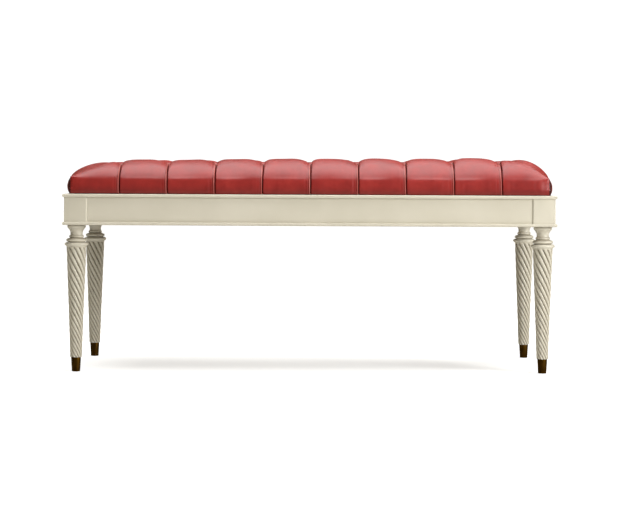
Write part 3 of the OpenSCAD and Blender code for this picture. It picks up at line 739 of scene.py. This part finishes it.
class Cover:
    """The seat cover: where each point of its flat pattern lies once the seat is stuffed and buttoned."""

    def __init__(self):
        low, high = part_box("leather_cover")
        buttons_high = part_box("tuft_buttons")[1]
        self.base = low.z / MM
        self.long = high.x / MM - SIDE_BULGE + 2.5
        self.deep = high.y / MM - SIDE_BULGE
        self.tuft_long = buttons_high.x / MM - BUTTON_WIDTH / 2
        self.tuft_deep = buttons_high.y / MM - BUTTON_WIDTH / 2
        self.panel = self.tuft_long / 4
        self.row = self.tuft_deep / 2
        self.tufts = tuft_places(self.tuft_long, self.tuft_deep)

    def plan(self, a, b):
        """Place in plan of pattern point a, b, with the points crowded towards the pleats near the edges."""
        last = 4 * PLEAT_STEP
        lines_x = np.minimum(np.floor(np.abs(a) / PLEAT_STEP), 4)
        share = np.abs(a) / PLEAT_STEP - lines_x
        pitch = np.where(lines_x > 3, self.long - self.tuft_long, self.panel)
        edge = ease(PLEAT_STEP, PLEAT_STEP + CROWDING, np.abs(b))
        x = np.sign(a) * (lines_x * self.panel + pitch * (share + (crowd(share) - share) * edge))
        lines_y = np.minimum(np.floor(np.abs(b) / PLEAT_STEP), 1)
        share = np.abs(b) / PLEAT_STEP - lines_y
        pitch = np.where(lines_y > 0, self.deep - self.tuft_deep, self.tuft_deep)
        edge = ease(last, last + CROWDING, np.abs(a))
        y = np.sign(b) * (lines_y * self.tuft_deep + pitch * (share + (crowd(share) - share) * edge))
        return x, y

    def body(self, x, y, side):
        """The plain stuffed body: crowned on top, bulging at the sides, with rounded corners in plan."""
        inner_x, inner_y = self.long - CORNER_RADIUS, self.deep - CORNER_RADIUS
        u = np.clip((np.abs(x) - inner_x) / CORNER_RADIUS, 0, 1)
        v = np.clip((np.abs(y) - inner_y) / CORNER_RADIUS, 0, 1)
        in_corner = (u > 0) & (v > 0)
        round_x = inner_x + CORNER_RADIUS * u * np.sqrt(1 - v * v / 2)
        round_y = inner_y + CORNER_RADIUS * v * np.sqrt(1 - u * u / 2)
        place_x = np.where(in_corner, np.sign(x) * round_x, x)
        place_y = np.where(in_corner, np.sign(y) * round_y, y)
        left_end = roll_rise(self.long - np.abs(x), LEFT_ROLL)
        right_end = roll_rise(self.long - np.abs(x), RIGHT_ROLL)
        rise_x = np.where(x < 0, left_end, right_end)
        rise_y = roll_rise(self.deep - np.abs(y), FRONT_ROLL)
        fullness = SEAT_CROWN + FULLER_RIGHT * x / self.long
        z = self.base + SEAT_SIDE + fullness * rise_x * rise_y
        down = side > 0
        heart_x = np.clip(place_x, -inner_x, inner_x)
        heart_y = np.clip(place_y, -inner_y, inner_y)
        out_x, out_y = place_x - heart_x, place_y - heart_y
        reach = np.maximum(np.hypot(out_x, out_y), 1e-6)
        on_end = np.abs(x) > self.long - 0.01
        from_corner = np.where(on_end, self.deep - np.abs(y), self.long - np.abs(x))
        full = np.where(on_end, END_BULGE, SIDE_BULGE)
        bulge = side_bulge(side) * (1.0 + (full - 1.0) * ease(0, 30, from_corner))
        place_x = np.where(down, place_x + out_x / reach * bulge, place_x)
        place_y = np.where(down, place_y + out_y / reach * bulge, place_y)
        z = np.where(down, self.base + SEAT_SIDE * (1 - np.clip(side, 0, 1)), z)
        return np.stack([place_x, place_y, z], axis=1)

    def folds(self):
        """Every pleat: its two ends in plan, then its half widths and depths."""
        lines = []
        for x, y in self.tufts:
            for other_x, other_y in self.tufts:
                next_row = other_y > y and abs(other_y - y - self.row) < 1
                if next_row and abs(abs(other_x - x) - self.panel / 2) < 1:
                    lines.append(((x, y), (other_x, other_y), *DIAMOND_PLEAT))
        for x, y in self.tufts:
            front, end = abs(abs(y) - self.tuft_deep) < 1, abs(abs(x) - self.tuft_long) < 1
            if front:
                outer = math.copysign(self.deep + SEAT_SIDE + 20, y)
                lines.append(((x, y), (x, outer), *FRONT_PLEAT))
            if end:
                outer = math.copysign(self.long + SEAT_SIDE + 20, x)
                lines.append(((x, y), (outer, y), *END_PLEAT))
            if front and end:
                corner = (math.copysign(self.long, x), math.copysign(self.deep, y))
                lines.append(((x, y), corner, *CORNER_PLEAT))
        return lines

    def pressed(self, x, y):
        """How far the pleats and buttons pull the cover in at x, y, and how close to a pleat that is."""
        depth, nearness = np.zeros_like(x), np.zeros_like(x)
        for start, end, left, right, deep_start, deep_end in self.folds():
            along = np.array(end) - np.array(start)
            length = np.hypot(*along)
            along = along / length
            run = (x - start[0]) * along[0] + (y - start[1]) * along[1]
            off = (x - start[0]) * -along[1] + (y - start[1]) * along[0]
            width = np.where(off > 0, left, right)
            inside = ease(-14, 2, run) * ease(-14, 2, length - run)
            near = (1 - pillow(np.abs(off) / width)) * inside
            here = np.clip(deep_start + (deep_end - deep_start) * run / length, 0, None)
            depth += (here * near) ** 4
            nearness += near ** 4
        for tuft_x, tuft_y in self.tufts:
            reach = np.hypot(x - tuft_x, y - tuft_y)
            depth += (BUTTON_PULL * (1 - pillow((reach - BUTTON_FLAT) / BUTTON_PULL))) ** 4
        return depth ** 0.25, np.clip(nearness ** 0.25, 0, 1)


def make_pattern(cover):
    """The flat cover: a grid for the top, with its border drawn down for the sides."""
    nothing_selected()
    bpy.ops.mesh.primitive_grid_add(x_subdivisions=CELLS_LONG, y_subdivisions=CELLS_DEEP, size=1,
                                    location=(0, 0, 0))
    piece = bpy.context.object
    piece.name = "tufted_leather_seat"
    piece.scale = (2 * cover.long * MM, 2 * cover.deep * MM, 1)
    bpy.ops.object.transform_apply(location=True, rotation=True, scale=True)
    bpy.ops.object.mode_set(mode="EDIT")
    bpy.ops.mesh.select_all(action="SELECT")
    bpy.ops.mesh.region_to_loop()
    for _ in range(SIDE_ROWS):
        bpy.ops.mesh.extrude_edges_move(TRANSFORM_OT_translate={"value": (0, 0, -SEAT_SIDE / SIDE_ROWS * MM)})
    bpy.ops.object.mode_set(mode="OBJECT")
    return piece


def make_seat(leather, button_leather):
    """The stuffed, deep-buttoned seat in one hide, and its covered buttons."""
    cover = Cover()
    piece = make_pattern(cover)
    mesh = piece.data
    flat = np.array([v.co for v in mesh.vertices]) / MM
    a = np.rint(flat[:, 0] / cover.long * CELLS_LONG)
    b = np.rint(flat[:, 1] / cover.deep * CELLS_DEEP)
    side = -flat[:, 2] / SEAT_SIDE
    x, y = cover.plan(a, b)
    solid = cover.body(x, y, side)
    mesh.vertices.foreach_set("co", (solid * MM).ravel())
    mesh.update()
    outward = np.array([v.normal for v in mesh.vertices])
    # the same points with the sides opened out flat round the top
    spread_x = x + np.where((side > 0) & (np.abs(a) == CELLS_LONG), np.sign(a) * side * SEAT_SIDE, 0)
    spread_y = y + np.where((side > 0) & (np.abs(b) == CELLS_DEEP), np.sign(b) * side * SEAT_SIDE, 0)
    depth, near = cover.pressed(spread_x, spread_y)
    # the panels are fullest in a row inside the front and rear edges, and a little uneven
    edge_row = ridge(np.abs(y), 128, 34)
    lumps = soft_noise(x / 59.2 + 40.3, y / 52.0 + 20.7, 5)
    on_side = np.where(side > 0, np.clip(1 - side, 0, 1) * 0.3, 1.0)
    puff = (-2.5 + 7.6 * edge_row + 1.8 * lumps) * (1 - near) * on_side
    hold = 1 - ease(0.9, 1.0, side)
    solid = solid + outward * ((puff - depth) * hold)[:, None]
    mesh.vertices.foreach_set("co", (solid * MM).ravel())
    stitched = ease(0.35, 0.8, near)
    tacked = ease(0.2, 0.7, side)
    buttoned = np.zeros_like(x)
    for tuft_x, tuft_y in cover.tufts:
        reach = np.hypot(spread_x - tuft_x, spread_y - tuft_y)
        buttoned = np.maximum(buttoned, 1 - ease(BUTTON_WIDTH / 2, 20, reach))
    settle_stuffing(piece, np.maximum.reduce([stitched, tacked, buttoned]))
    layer = mesh.attributes.new("pattern", "FLOAT_VECTOR", "POINT")
    pattern = np.stack([spread_x, spread_y, side], axis=1)
    layer.data.foreach_set("vector", pattern.astype(np.float32).ravel())
    mesh.update()

    nothing_selected()
    piece.select_set(True)
    bpy.context.view_layer.objects.active = piece
    smoother = piece.modifiers.new("smoother", "SUBSURF")
    smoother.levels = smoother.render_levels = 1
    bpy.ops.object.modifier_apply(modifier=smoother.name)
    add_creases(piece, cover)
    close_bottom(cover)
    finish_piece(piece, leather, ["leather_cover", "seat_foam", "seat_wadding"], 60)
    make_buttons(cover, button_leather)


def evened_out(mesh, swell):
    """The swell of each vertex, averaged with its neighbours' CLOTH_RELAX times."""
    count = len(mesh.vertices)
    ends = np.empty(len(mesh.edges) * 2, np.int32)
    mesh.edges.foreach_get("vertices", ends)
    first, second = ends.reshape(-1, 2).T
    shared = np.maximum(np.bincount(ends, minlength=count), 1)
    for _ in range(CLOTH_RELAX):
        around = np.bincount(first, swell[second], count) + np.bincount(second, swell[first], count)
        swell = (swell + around / shared) / 2
    return swell


def settle_stuffing(piece, held):
    """Lets the hide settle over its stuffing as cloth under pressure, where nothing holds it.
    held is 1 where it is stitched, buttoned or tacked. Only its swell along its normals is kept."""
    mesh = piece.data
    group = piece.vertex_groups.new(name="held")
    levels = np.rint(held * 10) / 10
    for level in np.unique(levels):
        if level > 0:
            group.add(np.nonzero(levels == level)[0].tolist(), float(level), "REPLACE")
    count = len(mesh.vertices)
    before = np.empty(count * 3, np.float32)
    mesh.vertices.foreach_get("co", before)
    outward = np.array([v.normal for v in mesh.vertices])
    cloth = piece.modifiers.new("stuffing", "CLOTH")
    cloth.settings.quality = 4
    cloth.settings.vertex_group_mass = "held"
    cloth.settings.pin_stiffness = 2.0
    cloth.settings.mass = 0.1
    cloth.settings.tension_stiffness = 8
    cloth.settings.compression_stiffness = 8
    cloth.settings.shear_stiffness = 3
    cloth.settings.bending_stiffness = 3.0
    cloth.settings.shrink_min = -0.008
    cloth.settings.use_pressure = True
    cloth.settings.uniform_pressure_force = 3
    cloth.settings.effector_weights.gravity = 0
    cloth.collision_settings.use_collision = False
    nothing_selected()
    piece.select_set(True)
    bpy.context.view_layer.objects.active = piece
    scene = bpy.context.scene
    for number in range(1, CLOTH_FRAMES + 1):
        scene.frame_set(number)
    bpy.ops.object.modifier_apply(modifier=cloth.name)
    scene.frame_set(1)
    after = np.empty(count * 3, np.float32)
    mesh.vertices.foreach_get("co", after)
    swell = ((after - before).reshape(-1, 3) * outward).sum(axis=1)
    swell = evened_out(mesh, np.clip(swell, -CLOTH_REACH * MM, CLOTH_REACH * MM))
    settled = before.reshape(-1, 3) + outward * (swell * (1 - held))[:, None]
    mesh.vertices.foreach_set("co", settled.astype(np.float32).ravel())
    piece.vertex_groups.clear()
    mesh.update()


def press_knife_pleats(cover, x, y, move, lean, painted_shade, rub_and_highlight):
    """Folds a knife pleat down the side below every outermost button, with fine drag lines between."""
    front_lines = [number * cover.panel for number in range(-4, 5)]
    end_lines = [number * cover.tuft_deep for number in range(-1, 2)]
    for axis, across, out, tuft, lines in (
            (0, x, y, cover.tuft_deep, front_lines), (1, y, x, cover.tuft_long, end_lines)):
        depth_out = np.abs(out) - tuft
        shown = ease(8, 34, depth_out)
        turn = np.where((out < 0) == (axis == 0), 1.0, -1.0)
        move += 0.3 * soft_noise(across / 6.5, out / 60.0, 23) * ease(30, 75, depth_out)
        for number, line in enumerate(lines):
            along = np.full(len(x), number * 3.7)
            wobble = 0.9 * soft_noise(depth_out / 38.0, along, 11) * ease(20, 60, depth_out)
            off = (across - line) * turn - wobble
            lip, gap = ridge(off, -1.4, 1.1), ridge(off, 1.7, 1.4)
            back, second = ridge(off, -4.2, 1.2), ridge(off, -10.5, 2.2)
            beside = np.where(off > 1.6, 1 - pillow((off - 1.6) / 7), 0)
            move += shown * (1.0 * lip - 5.0 * gap - 0.7 * back - 0.6 * second - 1.5 * beside)
            lean[:, axis] += shown * turn * 0.7 * ridge(off, -0.6, 1.3)
            # painted shade in each pleat's gap and, lighter, in the crease behind its lip
            painted_shade[:] = np.maximum(painted_shade, shown * (0.9 * gap + 0.25 * back))
            # a rubbed, painted highlight along each pleat's lip
            rub_and_highlight[:] = np.maximum(rub_and_highlight, shown * ridge(off, -1.1, 0.8))


def press_button_gathers(cover, x, y, move, painted_shade):
    """Seven short gathers round every button, turned from one button to the next."""
    for number, (tuft_x, tuft_y) in enumerate(cover.tufts):
        near = np.nonzero(np.hypot(x - tuft_x, y - tuft_y) < 38)[0]
        reach = np.hypot(x[near] - tuft_x, y[near] - tuft_y)
        spoke = np.cos(7 * np.arctan2(y[near] - tuft_y, x[near] - tuft_x) + number)
        gather = ease(10, 15, reach) * (1 - ease(16, 36, reach))
        move[near] -= 1.1 * gather * np.clip(spoke, 0, 1) ** 2
        # painted shade in the tuft round the button
        painted_shade[near] = np.maximum(painted_shade[near], 0.75 * (1 - ease(9, 17, reach)))


def press_corner_seams(cover, x, y, side, move, painted_shade):
    """A sewn seam down each corner, just round on the end, with painted shade on the end beside it."""
    out_x, out_y = np.abs(x) - cover.long, np.abs(y) - cover.deep
    corner = (side > 0) & (out_x > -40) & (out_y > -40)
    behind = np.where(corner & (out_x >= out_y), cover.deep - np.abs(y), 99)
    seam = ridge(behind, 3.0, 2.6) * ease(0, 0.08, side)
    move -= 2.5 * seam * (1 - ease(0.85, 1.0, side))
    # painted shade on the end beside the seam: near black there, fading out 9 to 27 mm behind the corner
    shade = np.where(behind < 60, 0.85 * (1 - ease(9, 27, behind)), 0)
    painted_shade[:] = np.maximum(painted_shade, shade * ease(0, 0.06, side))


def add_creases(piece, cover):
    """Presses in what is finer than the stuffing, and stores the painted shade in its folds and the rubbed,
    painted highlight on its pleat lips.
    """
    mesh = piece.data
    count = len(mesh.vertices)
    pattern = np.empty(count * 3, np.float32)
    mesh.attributes["pattern"].data.foreach_get("vector", pattern)
    x, y, side = pattern.reshape(-1, 3).astype(float).T
    place = np.empty(count * 3, np.float32)
    mesh.vertices.foreach_get("co", place)
    place = place.reshape(-1, 3).astype(float) / MM
    outward = np.array([v.normal for v in mesh.vertices])
    move, painted_shade, rub_and_highlight = np.zeros(count), np.zeros(count), np.zeros(count)
    lean = np.zeros((count, 2))
    press_knife_pleats(cover, x, y, move, lean, painted_shade, rub_and_highlight)
    press_button_gathers(cover, x, y, move, painted_shade)
    press_corner_seams(cover, x, y, side, move, painted_shade)
    place += outward * move[:, None]
    place[:, :2] += lean
    # painted shadow where the cover meets the lip, and painted shade growing darker towards the foot of the
    # side
    painted_shade = np.maximum(painted_shade, ease(0.93, 1.0, side) * 0.8)
    painted_shade = np.maximum(painted_shade, ease(0.5, 1.0, side) * 0.18)

    # the hide lies against the edge of the deck
    deck_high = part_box("seat_deck")[1]
    beside = place[:, 2] < deck_high.z / MM + 1
    for axis, half in ((0, deck_high.x / MM + 0.6), (1, deck_high.y / MM + 0.6)):
        wall = beside & (np.abs(place[:, axis]) > half - 9) & (np.abs(place[:, axis]) < half)
        place[wall, axis] = np.sign(place[wall, axis]) * half
    mesh.vertices.foreach_set("co", (place * MM).ravel())
    for name, values in (("painted_shade", painted_shade), ("rub_and_highlight", rub_and_highlight)):
        layer = mesh.attributes.new(name, "FLOAT", "POINT")
        layer.data.foreach_set("value", values.astype(np.float32))
    mesh.update()


def close_bottom(cover):
    """Turns the lower edge of the active piece, the cover, under the deck and closes it there."""
    bpy.ops.object.mode_set(mode="EDIT")
    bpy.ops.mesh.select_mode(type="EDGE")
    bpy.ops.mesh.select_all(action="DESELECT")
    bpy.ops.mesh.select_non_manifold(extend=False)
    shrink_x, shrink_y = 1 - TUCK / cover.long, 1 - TUCK / cover.deep
    bpy.ops.mesh.extrude_edges_move(TRANSFORM_OT_translate={"value": (0, 0, 0)})
    bpy.ops.transform.resize(value=(shrink_x, shrink_y, 1), center_override=(0, 0, 0))
    bpy.ops.mesh.extrude_edges_move(TRANSFORM_OT_translate={"value": (0, 0, TUCK_DEEP * MM)})
    bpy.ops.mesh.edge_face_add()
    bpy.ops.mesh.select_all(action="SELECT")
    bpy.ops.mesh.normals_make_consistent(inside=False)
    bpy.ops.object.mode_set(mode="OBJECT")


def make_buttons(cover, leather):
    """Forty-three leather-covered buttons, pulled down into the tufts."""
    low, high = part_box("tuft_buttons")
    bottom, top = low.z / MM, high.z / MM
    half = BUTTON_WIDTH / 2
    turns = [math.pi / 2 * i / 8 for i in range(9)]
    crown = [(bottom + (top - bottom) * (0.35 + 0.65 * math.sin(turn)), half * math.cos(turn) + 0.02)
             for turn in turns]
    button = ring_by_ring("button", [(bottom, half - 2), (bottom + 1, half - 0.4)] + crown, 36)
    made = [copy_piece(button, "button_%02d" % number, (x * MM, y * MM, 0))
            for number, (x, y) in enumerate(cover.tufts)]
    bpy.data.objects.remove(button)
    nothing_selected()
    for one in made:
        one.select_set(True)
    bpy.context.view_layer.objects.active = made[0]
    bpy.ops.object.join()
    made[0].name = "leather_buttons"
    # the same slight darkening on every button, through the leather's painted-shade mix
    layer = made[0].data.attributes.new("painted_shade", "FLOAT", "POINT")
    layer.data.foreach_set("value", [0.1] * len(made[0].data.vertices))
    finish_piece(made[0], leather, ["tuft_buttons"], 50)


# ---------------------------------------------------------------- hidden and plain pieces

def dress_cad_nodes(lacquer, brass):
    """Gives the pieces that keep their own solid the material of the real one."""
    dressed = {
        "front_rail": lacquer, "rear_rail": lacquer, "left_rail": lacquer, "right_rail": lacquer,
        "ferrule_pins": brass,
    }
    softwood = bare_wood("planed_softwood", "#d9b98a", "#b88f5c", (0.6, 0.06, 0.6))
    plywood = bare_wood("birch_plywood", "#dcc49a", "#bf9f6e", (0.08, 0.5, 2.0))
    steel = zinc_steel()
    for node in ("bearer_left", "bearer_centre", "bearer_right"):
        dressed[node] = softwood
    dressed["seat_deck"] = plywood
    dressed["dust_cover"] = woven_cloth("black_cambric", "#2a2927", "#0f0f0e", 350.0)
    dressed["button_twines"] = woven_cloth("waxed_twine", "#cbbd9c", "#8f8160", 500.0)
    for node in ("twine_anchors", "cover_staples", "seat_screws", "hanger_bolts", "threaded_inserts"):
        dressed[node] = steel
    for node, material in dressed.items():
        mesh = bpy.data.objects[node].data
        mesh.materials.clear()
        mesh.materials.append(material)


# ---------------------------------------------------------------- the whole bench

lacquer = ivory_lacquer()
leather = red_leather()
brass = antique_brass()
make_camera()
make_studio()
make_legs(lacquer, brass)
make_posts(lacquer)
make_mouldings(lacquer)
make_seat(leather, leather)
dress_cad_nodes(lacquer, brass)
